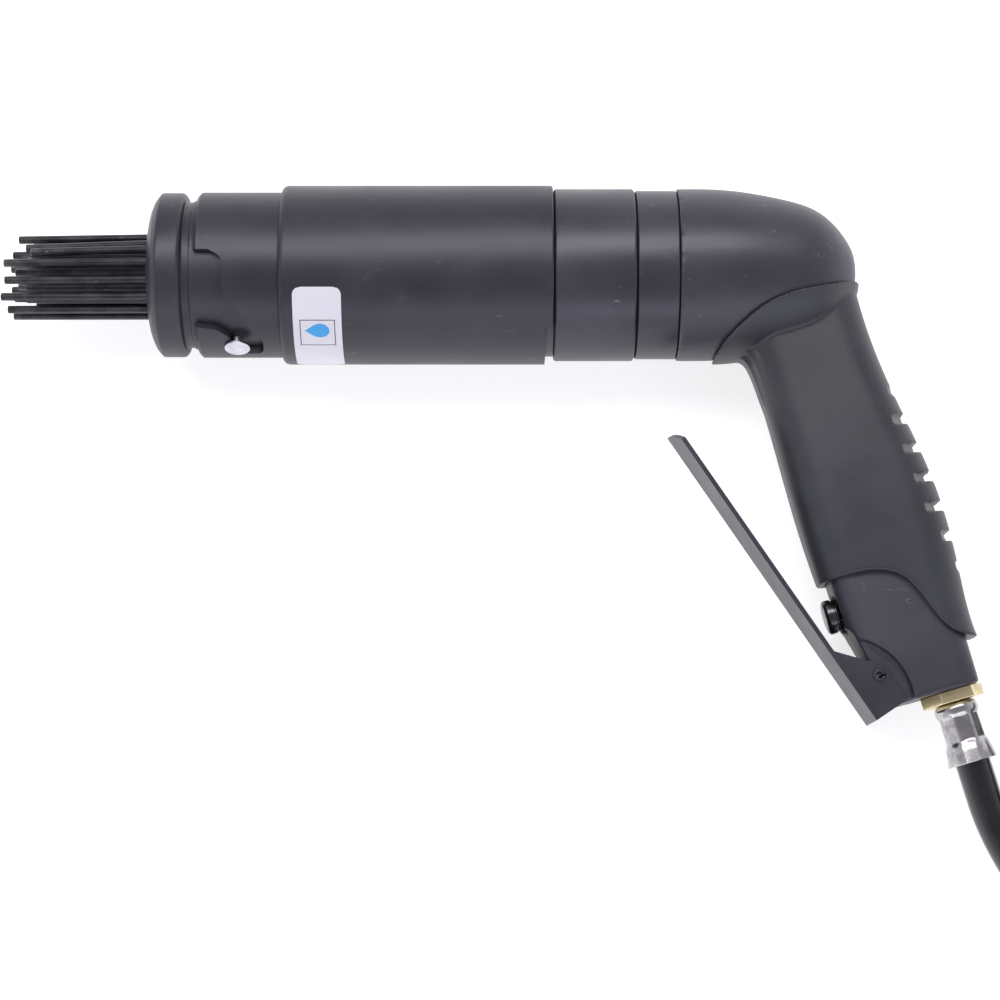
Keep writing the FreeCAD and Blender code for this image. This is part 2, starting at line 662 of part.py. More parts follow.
def make_throttle_lever():
    """The squeeze lever: a folded sheet with a slanted round tip and two ears on the pivot pin."""
    face = -LEVER_FACE
    half = LEVER_HALF_WIDTH
    inward = lever_point(0, 1) - lever_point(0, 0)
    near_end, far_end = lever_point(LEVER_END_U, face, -half), lever_point(LEVER_END_U, face, half)
    near_top = lever_point(LEVER_TIP_NEAR_U, face, -half)
    far_top = lever_point(LEVER_TIP_FAR_U, face, half)
    tip = Part.Arc(near_top, lever_point(LEVER_TIP_MIDDLE_U, face), far_top).toShape()
    outline = Part.Wire([Part.makeLine(near_end, near_top), tip, Part.makeLine(far_top, far_end),
                         Part.makeLine(far_end, near_end)])
    lever = Part.Face(outline).extrude(inward * LEVER_SHEET)
    ear = [lever_point(u, v) for u, v in cheek_outline()]
    for y_start in (-half, half - LEVER_SHEET):
        lever = lever.fuse(slab(ear, y_start, y_start + LEVER_SHEET))
    lever = lever.cut(rod(LEVER_PIVOT - Y_AXIS * 20, Y_AXIS, 40, LEVER_PIN_R + 0.05))
    return lever.removeSplitter()


def make_lever_pin():
    """A rolled spring pin, slit along its length."""
    half = LEVER_HALF_WIDTH + 0.4
    start = LEVER_PIVOT - Y_AXIS * half
    pin = rod(start, Y_AXIS, half * 2, LEVER_PIN_R)
    pin = pin.cut(rod(start, Y_AXIS, half * 2, LEVER_PIN_R - 1.1))
    slit = Part.makeBox(4, half * 2, 0.6, start + Vector(0, 0, -0.3))
    return pin.cut(slit)


def make_throttle_button():
    """The domed button under the lever, with its stem."""
    front = handle_front()
    head = rod(handle_point(THROTTLE_S, BUTTON_BACK_T), front, BUTTON_FRONT_T - BUTTON_BACK_T, BUTTON_R)
    rim = [edge for edge in head.Edges if edge.Closed and is_outer_rim(edge)]
    head = head.makeFillet(1.6, rim)
    stem_start = handle_point(THROTTLE_S, BUSH_BACK_T - 1.0)
    stem = rod(stem_start, front, BUTTON_BACK_T - BUSH_BACK_T + 1.5, BUTTON_STEM_R)
    return head.fuse(stem).removeSplitter()


def is_outer_rim(edge):
    """True for the edge round the button's outer face."""
    along = (edge.CenterOfMass - handle_point(THROTTLE_S, 0)).dot(handle_front())
    return along > BUTTON_FRONT_T - 0.5


def make_throttle_bush():
    """The bush that guides the button's stem."""
    start = handle_point(THROTTLE_S, BUSH_BACK_T)
    front = handle_front()
    bush = rod(start, front, BUSH_FRONT_T - BUSH_BACK_T - 0.3, 4.97)
    return bush.cut(rod(start, front, 20, BUTTON_STEM_R + SLIDE_PLAY))


def make_throttle_poppet():
    """The valve: a disc behind its seat and a thin stem up to the button."""
    front = handle_front()
    disc = rod(handle_point(THROTTLE_S, VALVE_SEAT_T - 3.2), front, 3.0, 7.0)
    stem = rod(handle_point(THROTTLE_S, VALVE_SEAT_T - 1), front, BUSH_BACK_T - VALVE_SEAT_T - 0.2, 2.0)
    guide = rod(handle_point(THROTTLE_S, VALVE_SEAT_T - 7), front, 4.5, 2.5)
    return disc.fuse(stem).fuse(guide).removeSplitter()


def make_throttle_spring():
    start = handle_point(THROTTLE_S, VALVE_CHAMBER_T + 0.1)
    length = VALVE_SEAT_T - 3.3 - VALVE_CHAMBER_T - 0.1
    return spring(start, handle_front(), length, 4.6, 0.6, 4)


# ---------------------------------------------------------------- inlet and hose

def make_inlet_nipple():
    """The brass nipple: a spigot screwed into the handle and a hexagon below it."""
    down = handle_down()
    hex_r = INLET_HEX_FLATS / math.sqrt(3)
    corners = []
    for index in range(7):
        angle = math.radians(60 * index)
        corners.append(handle_point(0, hex_r * math.cos(angle), hex_r * math.sin(angle)))
    hexagon = Part.Face(Part.makePolygon(corners)).extrude(down * INLET_HEX_LENGTH)
    spigot = rod(handle_point(CORE_BOTTOM_S - 13.5, 0), down, 15, 6.97)
    tail = rod(handle_point(INLET_HEX_LENGTH - 1, 0), down, 20, 5.2)
    nipple = hexagon.fuse(spigot).fuse(tail)
    return nipple.cut(rod(handle_point(-20, 0), down, 50, INLET_BORE_R)).removeSplitter()


def turned_along(start, direction, profile):
    """A solid turned about a line from (distance, radius) corners."""
    wire = Part.makePolygon([Vector(r, 0, d) for d, r in profile + profile[:1]])
    body = Part.Face(wire).revolve(ORIGIN, Vector(0, 0, 1), 360)
    place = FreeCAD.Placement(start, FreeCAD.Rotation(Vector(0, 0, 1), direction))
    return body.transformed(place.toMatrix(), True)


def make_hose_ferrule():
    """The crimped ferrule: collar, pinched waist and flared skirt round the hose's end."""
    length = FERRULE_END_S - FERRULE_START_S
    profile = [
        (0, 5.25), (0, 7.3), (0.7, 8.0), (3.6, 8.0), (5.0, 7.0), (8.5, 7.6), (12.5, 7.0), (16.5, 7.8),
        (20.0, 8.6), (length, 9.3), (length, 6.55), (1.5, 6.55), (1.5, 5.25),
    ]
    return turned_along(handle_point(FERRULE_START_S, 0), handle_down(), profile)


def hose_lead_route():
    """Points on the hose's line from the ferrule to the coil, in row axes before centring."""
    exit_low = row_point(handle_point(FERRULE_END_S - 16, 0))
    start = row_point(handle_point(FERRULE_END_S, 0))
    heading = start - exit_low
    heading.normalize()
    return [
        start,
        start + heading * 28,
        Vector(200.0, -238.0, 7.2),
        Vector(224.0, -259.0, HOSE_R),
        Vector(254.0, -270.5, HOSE_R),
        COIL_CENTRE + Vector(0.0, -COIL_R, HOSE_R),
    ]


def hose_tail_route():
    """Points on the hose's line from the coil to its plug."""
    centre = COIL_CENTRE
    return [
        centre + Vector(COIL_R, -10.0, 3 * HOSE_R),
        centre + Vector(COIL_R + 3.0, 20.0, 17.9),
        centre + Vector(COIL_R + 2.0, 50.0, 13.4),
        centre + Vector(COIL_R - 5.0, 79.0, 9.9),
        centre + Vector(COIL_R - 15.0, 107.0, PLUG_HEIGHT),
    ]


def tube_along(points, radius, name):
    """A tube of straight runs joined by tangent arcs."""
    edges = []
    start = points[0]
    radii = []
    for index in range(1, len(points) - 1):
        before, corner, after = points[index - 1], points[index], points[index + 1]
        run_in = corner - before
        run_out = after - corner
        turn = run_in.getAngle(run_out)
        shorter = min(run_in.Length, run_out.Length)
        trim = 0.45 * shorter
        bend = trim / math.tan(turn / 2)
        radii.append(round(bend, 1))
        way_in = Vector(run_in).normalize()
        way_out = Vector(run_out).normalize()
        arc_start = corner - way_in * trim
        arc_end = corner + way_out * trim
        bisector = (way_out - way_in).normalize()
        centre = corner + bisector * math.hypot(trim, bend)
        middle = centre - bisector * bend
        edges.append(Part.LineSegment(start, arc_start).toShape())
        edges.append(Part.Arc(arc_start, middle, arc_end).toShape())
        start = arc_end
    edges.append(Part.LineSegment(start, points[-1]).toShape())
    path = Part.Wire(edges)
    heading = Vector(points[1] - points[0]).normalize()
    section = Part.Wire(Part.makeCircle(radius, points[0], heading))
    tube = path.makePipeShell([section], True, True)
    print(name, "bend radii", radii, "length", round(path.Length, 1),
          "volume ratio", round(tube.Volume / (math.pi * radius ** 2 * path.Length), 4))
    return tube


def make_hose_coil():
    """The coiled part of the hose as one plain ring."""
    height = 2 * HOSE_R * COIL_LAYERS
    outer = Part.makeCylinder(COIL_R + HOSE_R, height, COIL_CENTRE)
    return outer.cut(Part.makeCylinder(COIL_R - HOSE_R, height, COIL_CENTRE))


def plug_frame():
    """Where the hose's far end is and which way it points."""
    route = hose_tail_route()
    heading = Vector(route[-1] - route[-2]).normalize()
    return route[-1], heading


def make_plug_ferrule():
    end, heading = plug_frame()
    profile = [
        (-20.0, 6.55), (-20.0, 8.9), (-16.0, 8.2), (-11.0, 7.4), (-7.5, 7.9), (-4.0, 7.2), (0.0, 7.9),
        (2.2, 7.9), (2.8, 7.3), (2.8, 5.0), (0.05, 5.0), (0.05, 6.55),
    ]
    return turned_along(end, heading, profile)


def make_hose_plug():
    """The quick-coupling plug: hexagon, locking groove and nose."""
    end, heading = plug_frame()
    profile = [
        (0.1, 0), (0.1, 4.95), (3.0, 4.95), (3.0, 8.6), (9.0, 8.6), (9.0, 5.2), (13.0, 5.2), (14.0, 6.9),
        (16.0, 6.9), (PLUG_NOSE_START, PLUG_NOSE_R), (PLUG_NOSE_END, PLUG_NOSE_R),
        (PLUG_NOSE_END + 1.2, PLUG_NOSE_R - 0.9), (PLUG_NOSE_END + 1.2, 0),
    ]
    plug = turned_along(end, heading, profile)
    return plug.cut(rod(end - heading, heading, 40, 3.4))


# ---------------------------------------------------------------- placing

def row_rotation():
    return FreeCAD.Rotation(X_AXIS, REST_TILT - 90)


def row_point(point):
    """A point of the tool, laid down but not yet centred."""
    return row_rotation().multVec(point) + Vector(0, 0, SLEEVE_R)


def lay_down(shape):
    place = FreeCAD.Placement(Vector(0, 0, SLEEVE_R), row_rotation())
    return shape.transformed(place.toMatrix(), True)


def tool_pieces():
    """Every piece of the tool itself, in the tool's frame."""
    pieces = {
        "front_tube": make_front_tube(),
        "bayonet_pins": make_bayonet_pins(),
        "spring_seat": make_spring_seat(),
        "needle_spring": make_needle_spring(),
        "needle_holder": make_needle_holder(),
        "bayonet_housing": make_bayonet_housing(),
        "anvil": make_anvil(),
        "cylinder": make_cylinder(),
        "piston": make_piston(),
        "body_sleeve": make_body_sleeve(),
        "oil_label": make_oil_label(),
        "body_o_rings": make_body_o_rings(),
        "rear_ring": make_rear_ring(),
        "valve_seat": make_valve_seat(),
        "valve_disc": make_valve_disc(),
        "lock_ring": make_lock_ring(),
        "pistol_body": make_pistol_body(),
        "grip_cover": make_grip_cover(),
        "valve_plug": make_valve_plug(),
        "throttle_lever": make_throttle_lever(),
        "lever_pin": make_lever_pin(),
        "throttle_button": make_throttle_button(),
        "throttle_bush": make_throttle_bush(),
        "throttle_poppet": make_throttle_poppet(),
        "throttle_spring": make_throttle_spring(),
        "inlet_nipple": make_inlet_nipple(),
        "hose_ferrule": make_hose_ferrule(),
    }
    for index, (seat, direction, slack) in enumerate(needle_layout()):
        pieces["needle_%02d" % (index + 1)] = make_needle(seat, direction, slack)
    return pieces


def hose_pieces():
    """The hose and what is on its far end, already lying on the floor."""
    return {
        "hose_lead": tube_along(hose_lead_route(), HOSE_R, "hose_lead"),
        "hose_coil": make_hose_coil(),
        "hose_tail": tube_along(hose_tail_route(), HOSE_R, "hose_tail"),
        "plug_ferrule": make_plug_ferrule(),
        "hose_plug": make_hose_plug(),
    }


def centre_shift(pieces):
    """The move that puts the middle of the tool's footprint at the origin."""
    box = Part.makeCompound(list(pieces.values())).optimalBoundingBox(False, False)
    return Vector(-(box.XMin + box.XMax) / 2, -(box.YMin + box.YMax) / 2, -box.ZMin)


def main():
    os.makedirs("parts", exist_ok=True)
    tool = {name: lay_down(shape) for name, shape in tool_pieces().items()}
    shift = centre_shift(tool)
    print("shift", shift)
    tool.update(hose_pieces())
    for name, shape in tool.items():
        shape.translate(shift)
        shape.exportStep("parts/%s.step" % name)
        if not shape.isValid():
            print("not valid:", name)


main()
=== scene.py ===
"""Looks of the pneumatic needle scaler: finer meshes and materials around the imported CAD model.

Shapes are given in millimetres in the tool's frame, where x runs along the barrel with the needles
towards -x, z points away from the handle and y across.  tool_point() takes them to the scene's metres,
where the tool lies on its +y side on the floor.
"""
import json
import math
import random

import bmesh
import bpy
from mathutils import Matrix, Vector


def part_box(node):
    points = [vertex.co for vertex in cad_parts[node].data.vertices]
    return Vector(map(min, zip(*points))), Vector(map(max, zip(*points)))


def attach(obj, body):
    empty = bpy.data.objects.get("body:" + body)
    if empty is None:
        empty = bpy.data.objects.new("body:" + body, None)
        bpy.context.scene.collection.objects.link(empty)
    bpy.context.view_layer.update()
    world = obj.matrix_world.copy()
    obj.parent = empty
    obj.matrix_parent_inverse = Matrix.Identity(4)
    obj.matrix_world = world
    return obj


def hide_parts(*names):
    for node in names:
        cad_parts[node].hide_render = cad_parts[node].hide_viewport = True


MM = 0.001

# The tool's frame, as the CAD model lays it down.
SLEEVE_FRONT_X = -82.1
SLEEVE_BACK_X = 19.9
SLEEVE_R = 33.9
REST_TILT = 6.75

# The handle's frame: s runs down from its bottom face and t towards the lever.
HANDLE_FOOT = Vector((166.95, 0, -158.2))
HANDLE_ANGLE = math.radians(16.1)

# Bayonet.
HOUSING_FRONT_X = -113.6
HOUSING_BACK_X = -40.0
HOUSING_R = 31.3
HOUSING_BORE_R = 28.5
PIN_X = -98.4
PIN_ANGLE = -71.8
SLOT_TURN = -13.8
SLOT_BACK = [(18, -108.3), (15.5, -105.2), (12, -103.0), (-9, -103.0), (-13, -102.2), (-47, -89.6),
             (-50, -88.9), (-54, -88.6), (-62, -88.6), (-66, -89.2), (-70, -90.5)]
SLOT_FRONT = [(18, -116.6), (-38, -116.6), (-38.5, -110.0), (-39.5, -107.0), (-41, -104.8),
              (-47, -101.4), (-52, -100.65), (-70, -100.65)]

# Sleeve's exhaust gap and label.
GAP_ANGLES = (-49, -159)
LABEL_X = (-76.6, -58.6)
LABEL_ANGLES = (-21, -96)
LABEL_CORNER = 3.0

# Needles.
NEEDLE_R = 1.5
NEEDLE_HEAD_R = 2.3
END_SLICE = 0.15
WEAR_SEED = 28

# Throttle button, ferrules and hose.
THROTTLE_S = -38.6
CRIMP_FLATS = 8
FERRULE_START_S = 4.6
FERRULE_END_S = 27.4
HOSE_R = 6.5
COIL_R = 78.0
COIL_CENTRE = Vector((284.0, -195.0, 0.0))
PLUG_HEIGHT = 9.1

# Camera.
AIM = (0.0, 0.0, -86.5)
CAMERA_DISTANCE = 1.0
CAMERA_ELEVATION = math.radians(74.1)
LENS = 96.0

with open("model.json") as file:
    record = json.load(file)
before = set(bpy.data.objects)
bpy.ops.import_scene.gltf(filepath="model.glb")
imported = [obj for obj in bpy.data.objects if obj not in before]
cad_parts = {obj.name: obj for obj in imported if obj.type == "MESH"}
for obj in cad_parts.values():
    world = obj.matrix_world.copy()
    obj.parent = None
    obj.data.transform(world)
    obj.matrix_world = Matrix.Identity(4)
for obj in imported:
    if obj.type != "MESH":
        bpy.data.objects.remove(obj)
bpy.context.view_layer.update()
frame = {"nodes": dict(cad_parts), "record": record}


# ---------------------------------------------------------------- places

sleeve_low, sleeve_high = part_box("body_sleeve")
TOOL_ORIGIN = (sleeve_low + sleeve_high) / 2
TOOL_ORIGIN.x = sleeve_low.x - SLEEVE_FRONT_X * MM
LAY_DOWN = Matrix.Rotation(math.radians(REST_TILT - 90), 3, "X")


def tool_point(x, y, z):
    return TOOL_ORIGIN + LAY_DOWN @ Vector((x, y, z)) * MM


def barrel_point(x, radius, angle):
    """A point at an angle round the barrel: 0 is the upper side as it lies and 90 points off the handle."""
    turn = math.radians(angle)
    return tool_point(x, -radius * math.cos(turn), radius * math.sin(turn))


def handle_point(s, t, y=0.0):
    """A point in the handle's frame, with y across as in the tool's."""
    x = HANDLE_FOOT.x + s * math.sin(HANDLE_ANGLE) - t * math.cos(HANDLE_ANGLE)
    z = HANDLE_FOOT.z - s * math.cos(HANDLE_ANGLE) - t * math.sin(HANDLE_ANGLE)
    return tool_point(x, y, z)


def floor_point(x, y, z):
    """A point of the hose's route, which is given before the model is centred."""
    return TOOL_ORIGIN + Vector((x, y, z - SLEEVE_R)) * MM


BARREL_AXIS = (tool_point(1, 0, 0) - tool_point(0, 0, 0)).normalized()
HANDLE_DOWN = (handle_point(1, 0) - handle_point(0, 0)).normalized()
HANDLE_FRONT = (handle_point(0, 1) - handle_point(0, 0)).normalized()


# ---------------------------------------------------------------- materials

def link(tree, source, target):
    tree.links.new(source, target)


def node(tree, kind, **values):
    """A new shader node with its properties or its named inputs set."""
    made = tree.nodes.new(kind)
    for key, value in values.items():
        if hasattr(made, key):
            setattr(made, key, value)
        else:
            made.inputs[key.replace("_", " ")].default_value = value
    return made


def math_node(tree, operation, first, second=None, clamp=False):
    made = tree.nodes.new("ShaderNodeMath")
    made.operation = operation
    made.use_clamp = clamp
    for index, value in enumerate((first, second)):
        if value is None:
            continue
        if isinstance(value, (int, float)):
            made.inputs[index].default_value = value
        else:
            link(tree, value, made.inputs[index])
    return made.outputs[0]


def remap(tree, value, low, high, to_low=0.0, to_high=1.0):
    made = node(tree, "ShaderNodeMapRange", clamp=True)
    link(tree, value, made.inputs["Value"])
    made.inputs["From Min"].default_value = low
    made.inputs["From Max"].default_value = high
    made.inputs["To Min"].default_value = to_low
    made.inputs["To Max"].default_value = to_high
    return made.outputs[0]


def mix_colour(tree, factor, first, second):
    made = node(tree, "ShaderNodeMix", data_type="RGBA")
    link(tree, factor, made.inputs[0])
    for socket, value in ((made.inputs[6], first), (made.inputs[7], second)):
        if isinstance(value, tuple):
            socket.default_value = (*value, 1.0)
        else:
            link(tree, value, socket)
    return made.outputs[2]


def noise(tree, coordinates, scale, detail=4.0, distortion=0.0, stretch=None):
    """Noise at so many cells a metre, stretched along an axis if asked."""
    if stretch:
        mapping = node(tree, "ShaderNodeMapping")
        mapping.inputs["Scale"].default_value = stretch
        link(tree, coordinates, mapping.inputs["Vector"])
        coordinates = mapping.outputs[0]
    made = node(tree, "ShaderNodeTexNoise")
    made.inputs["Scale"].default_value = scale
    made.inputs["Detail"].default_value = detail
    made.inputs["Distortion"].default_value = distortion
    link(tree, coordinates, made.inputs["Vector"])
    return made.outputs[0]


def thin_lines(tree, coordinates, scale, width, cover, turn):
    """Sparse hair-thin scratches: one noise, drawn out along a line, where it crosses its middle."""
    mapping = node(tree, "ShaderNodeMapping")
    mapping.inputs["Rotation"].default_value = (0.3, 0.2, math.radians(turn))
    mapping.inputs["Scale"].default_value = (0.12, 1.0, 1.0)
    link(tree, coordinates, mapping.inputs["Vector"])
    field = noise(tree, mapping.outputs[0], scale, 0.0)
    distance = math_node(tree, "ABSOLUTE", math_node(tree, "SUBTRACT", field, 0.5))
    line = remap(tree, distance, 0.0, width, 1.0, 0.0)
    patch = remap(tree, noise(tree, coordinates, 130.0, 2.0), cover, cover + 0.05)
    return math_node(tree, "MULTIPLY", line, patch)


def surface(name, colour, shade, rough, metal=0.0, blotch=30.0, grain=900.0, grain_depth=0.02,
            rough_spread=0.08, scratch=None, scratch_amount=0.0, worn=None, worn_from=0.53, streak=None,
            coat=0.0):
    """A material with colour patches, grain, scratches and worn edges, all worked out in 3-D space."""
    material = bpy.data.materials.new(name)
    material.use_nodes = True
    tree = material.node_tree
    shader = tree.nodes["Principled BSDF"]
    coordinates = node(tree, "ShaderNodeTexCoord").outputs["Object"]
    patches = noise(tree, coordinates, blotch, 6.0, 0.4)
    tint = mix_colour(tree, remap(tree, patches, 0.35, 0.65), colour, shade)
    roughness = remap(tree, patches, 0.3, 0.7, rough - rough_spread, rough + rough_spread)
    fine = noise(tree, coordinates, grain, 3.0, 0.0, streak)
    if scratch:
        marks = thin_lines(tree, coordinates, 230.0, 0.008, 0.62, 25)
        nicks = thin_lines(tree, coordinates, 330.0, 0.012, 0.65, -65)
        both = math_node(tree, "MAXIMUM", marks, nicks)
        tint = mix_colour(tree, math_node(tree, "MULTIPLY", both, scratch_amount), tint, scratch)
    if worn:
        point = node(tree, "ShaderNodeNewGeometry").outputs["Pointiness"]
        edge = remap(tree, point, worn_from, worn_from + 0.05)
        broken = remap(tree, noise(tree, coordinates, 220.0, 5.0), 0.42, 0.62)
        tint = mix_colour(tree, math_node(tree, "MULTIPLY", edge, broken), tint, worn)
    link(tree, tint, shader.inputs["Base Color"])
    link(tree, roughness, shader.inputs["Roughness"])
    bump = node(tree, "ShaderNodeBump")
    bump.inputs["Strength"].default_value = 1.0
    bump.inputs["Distance"].default_value = grain_depth * MM
    link(tree, fine, bump.inputs["Height"])
    link(tree, bump.outputs[0], shader.inputs["Normal"])
    shader.inputs["Metallic"].default_value = metal
    shader.inputs["Coat Weight"].default_value = coat
    return material


BARE = (0.42, 0.42, 0.44)
PALE = (0.34, 0.34, 0.37)
MATERIALS = {
    "blackened_steel": surface("blackened_steel", (0.031, 0.030, 0.040), (0.042, 0.041, 0.052), 0.42, 0.40,
                               rough_spread=0.05, scratch=PALE, scratch_amount=0.12),
    "anodised_ring": surface("anodised_ring", (0.041, 0.040, 0.052), (0.054, 0.053, 0.067), 0.38, 0.4,
                             rough_spread=0.05, scratch=BARE, scratch_amount=0.35),
    "body_casting": surface("body_casting", (0.043, 0.042, 0.054), (0.060, 0.058, 0.073), 0.42, 0.35,
                            blotch=22.0, rough_spread=0.05, scratch=BARE, scratch_amount=0.35),
    "grip_rubber": surface("grip_rubber", (0.024, 0.025, 0.032), (0.032, 0.033, 0.041), 0.42, 0.0,
                           blotch=40.0, grain=1600.0, grain_depth=0.03, rough_spread=0.05),
    "needle_steel": surface("needle_steel", (0.030, 0.030, 0.034), (0.058, 0.057, 0.062), 0.36, 0.75,
                            blotch=120.0, streak=(0.06, 1, 1), scratch=BARE, scratch_amount=0.4,
                            worn=(0.30, 0.29, 0.28)),
    "bright_steel": surface("bright_steel", (0.62, 0.61, 0.66), (0.50, 0.49, 0.54), 0.30, 1.0,
                            blotch=200.0, scratch=(0.9, 0.9, 0.92), scratch_amount=0.6),
    "hard_steel": surface("hard_steel", (0.050, 0.050, 0.058), (0.075, 0.075, 0.083), 0.34, 1.0,
                          streak=(8, 1, 1), scratch=BARE, scratch_amount=0.3),
    "spring_steel": surface("spring_steel", (0.06, 0.06, 0.07), (0.10, 0.10, 0.11), 0.34, 0.9),
    "seal_rubber": surface("seal_rubber", (0.015, 0.015, 0.016), (0.022, 0.022, 0.023), 0.55),
    "label_film": surface("label_film", (0.66, 0.65, 0.70), (0.61, 0.60, 0.66), 0.42, 0.0, coat=0.1,
                          scratch=(0.55, 0.55, 0.58), scratch_amount=0.3),
    "brass": surface("brass", (0.84, 0.71, 0.42), (0.60, 0.49, 0.26), 0.30, 1.0, blotch=190.0,
                     scratch=(0.78, 0.68, 0.45), scratch_amount=0.5, worn=(0.80, 0.70, 0.45)),
    "nickel": surface("nickel", (0.58, 0.56, 0.56), (0.32, 0.31, 0.31), 0.22, 1.0, blotch=260.0,
                      scratch=(0.20, 0.19, 0.18), scratch_amount=0.5, worn=(0.70, 0.68, 0.65)),
    "hose_skin": surface("hose_skin", (0.006, 0.006, 0.007), (0.011, 0.011, 0.013), 0.19, 0.0, blotch=90.0,
                         grain=700.0, grain_depth=0.02, coat=0.35),
}
BUTTON_STEEL = surface("button_steel", (0.055, 0.055, 0.060), (0.10, 0.10, 0.11), 0.22, 0.9, blotch=250.0)
PRINT_BLACK = surface("print_black", (0.03, 0.03, 0.035), (0.05, 0.05, 0.055), 0.45)
PRINT_BLUE = surface("print_blue", (0.03, 0.30, 0.66), (0.04, 0.34, 0.70), 0.40)


# ---------------------------------------------------------------- mesh helpers

def make_piece(name, vertices, faces, body, slot, nodes=(), material=None):
    """An object from points in the scene's metres, riding on a body and standing for CAD nodes."""
    mesh = bpy.data.meshes.new(name)
    mesh.from_pydata([tuple(v) for v in vertices], [], faces)
    mesh.validate()
    shell = bmesh.new()
    shell.from_mesh(mesh)
    bmesh.ops.recalc_face_normals(shell, faces=shell.faces)
    shell.to_mesh(mesh)
    shell.free()
    return dress(bpy.data.objects.new(name, mesh), body, slot, nodes, material)


def dress(piece, body, slot, nodes=(), material=None):
    if not piece.users_collection:
        bpy.context.scene.collection.objects.link(piece)
    piece.data.materials.clear()
    piece.data.materials.append(material or MATERIALS[slot])
    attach(piece, body)
    if nodes:
        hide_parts(*nodes)
    return piece


def smooth(piece, angle=32):
    piece.data.shade_smooth()
    piece.data.set_sharp_from_angle(angle=math.radians(angle))


def bevel(piece, width, segments=3, angle=32):
    smooth(piece, angle)
    modifier = piece.modifiers.new("edges", "BEVEL")
    modifier.width = width * MM
    modifier.segments = segments
    modifier.limit_method = "ANGLE"
    modifier.angle_limit = math.radians(angle)
    modifier.harden_normals = True
    return piece


def apply_modifiers(piece):
    bpy.context.view_layer.update()
    evaluated = piece.evaluated_get(bpy.context.evaluated_depsgraph_get())
    mesh = bpy.data.meshes.new_from_object(evaluated)
    piece.modifiers.clear()
    piece.data = mesh


def side_axes(direction):
    """Two unit vectors across a direction."""
    across = direction.cross(BARREL_AXIS)
    if across.length < 0.1:
        across = direction.cross(tool_point(0, 1, 0) - tool_point(0, 0, 0))
    across.normalize()
    return across, direction.cross(across).normalized()


def lathe_mesh(start, direction, profile, steps, shape=None):
    """Points and faces of a piece turned about a line, from (distance, radius) corners."""
    across, along = side_axes(direction)
    vertices = []
    rings = []
    for distance, radius in profile:
        centre = start + direction * distance * MM
        if radius < 1e-6:
            rings.append([len(vertices)] * steps)
            vertices.append(centre)
            continue
        rings.append(list(range(len(vertices), len(vertices) + steps)))
        for index in range(steps):
            angle = math.tau * index / steps
            reach = radius * (shape(angle, distance) if shape else 1.0) * MM
            vertices.append(centre + across * math.cos(angle) * reach + along * math.sin(angle) * reach)
    open_ended = profile[0][1] < 1e-6
    pairs = list(zip(rings, rings[1:])) if open_ended else list(zip(rings, rings[1:] + rings[:1]))
    faces = []
    for first, second in pairs:
        for index in range(steps):
            after = (index + 1) % steps
            face = [first[index], first[after], second[after], second[index]]
            corners = list(dict.fromkeys(face))
            if len(corners) > 2:
                faces.append(corners)
    return vertices, faces


def lathe(name, start, direction, profile, body, slot, nodes=(), steps=96, shape=None, material=None):
    vertices, faces = lathe_mesh(start, direction, profile, steps, shape)
    return make_piece(name, vertices, faces, body, slot, nodes, material)


def barrel_lathe(name, profile, body, slot, nodes, steps=192):
    """A piece turned about the barrel's axis, from (x, radius) corners."""
    return lathe(name, tool_point(0, 0, 0), BARREL_AXIS, profile, body, slot, nodes, steps)


def rounded(profile, radius, segments=4):
    """The profile with each outer corner replaced by a small arc."""
    result = []
    count = len(profile)
    for index in range(count):
        before = Vector(profile[index - 1])
        corner = Vector(profile[index])
        after = Vector(profile[(index + 1) % count])
        way_in = before - corner
        way_out = after - corner
        trim = min(radius, way_in.length * 0.45, way_out.length * 0.45)
        first = corner + way_in.normalized() * trim
        last = corner + way_out.normalized() * trim
        for step in range(segments + 1):
            share = step / segments
            point = first.lerp(corner, share).lerp(corner.lerp(last, share), share)
            result.append((point.x, point.y))
    return result


def clean_copy(name, node_name, body, slot, material=None, join_faces=True):
    """A copy of a CAD node's mesh, with its triangles joined into plain faces if asked."""
    mesh = frame["nodes"][node_name].data.copy()
    mesh.name = name
    shell = bmesh.new()
    shell.from_mesh(mesh)
    bmesh.ops.remove_doubles(shell, verts=shell.verts, dist=0.002 * MM)
    if join_faces:
        bmesh.ops.dissolve_limit(shell, angle_limit=math.radians(0.6), verts=shell.verts, edges=shell.edges)
    shell.to_mesh(mesh)
    shell.free()
    return dress(bpy.data.objects.new(name, mesh), body, slot, [node_name], material)


def cast_copy(name, node_name, slot, voxel, rounds):
    """A copy of a CAD node's mesh, remeshed and smoothed so that its edges look moulded."""
    piece = clean_copy(name, node_name, "body", slot, join_faces=False)
    remesh = piece.modifiers.new("remesh", "REMESH")
    remesh.mode = "VOXEL"
    remesh.voxel_size = voxel * MM
    remesh.use_smooth_shade = True
    soften = piece.modifiers.new("soften", "SMOOTH")
    soften.factor = 0.5
    soften.iterations = rounds
    apply_modifiers(piece)
    piece.data.shade_smooth()
    return piece


def cut(piece, cutter):
    modifier = piece.modifiers.new("cut", "BOOLEAN")
    modifier.operation = "DIFFERENCE"
    modifier.solver = "EXACT"
    modifier.object = cutter
    apply_modifiers(piece)
    bpy.data.objects.remove(cutter)


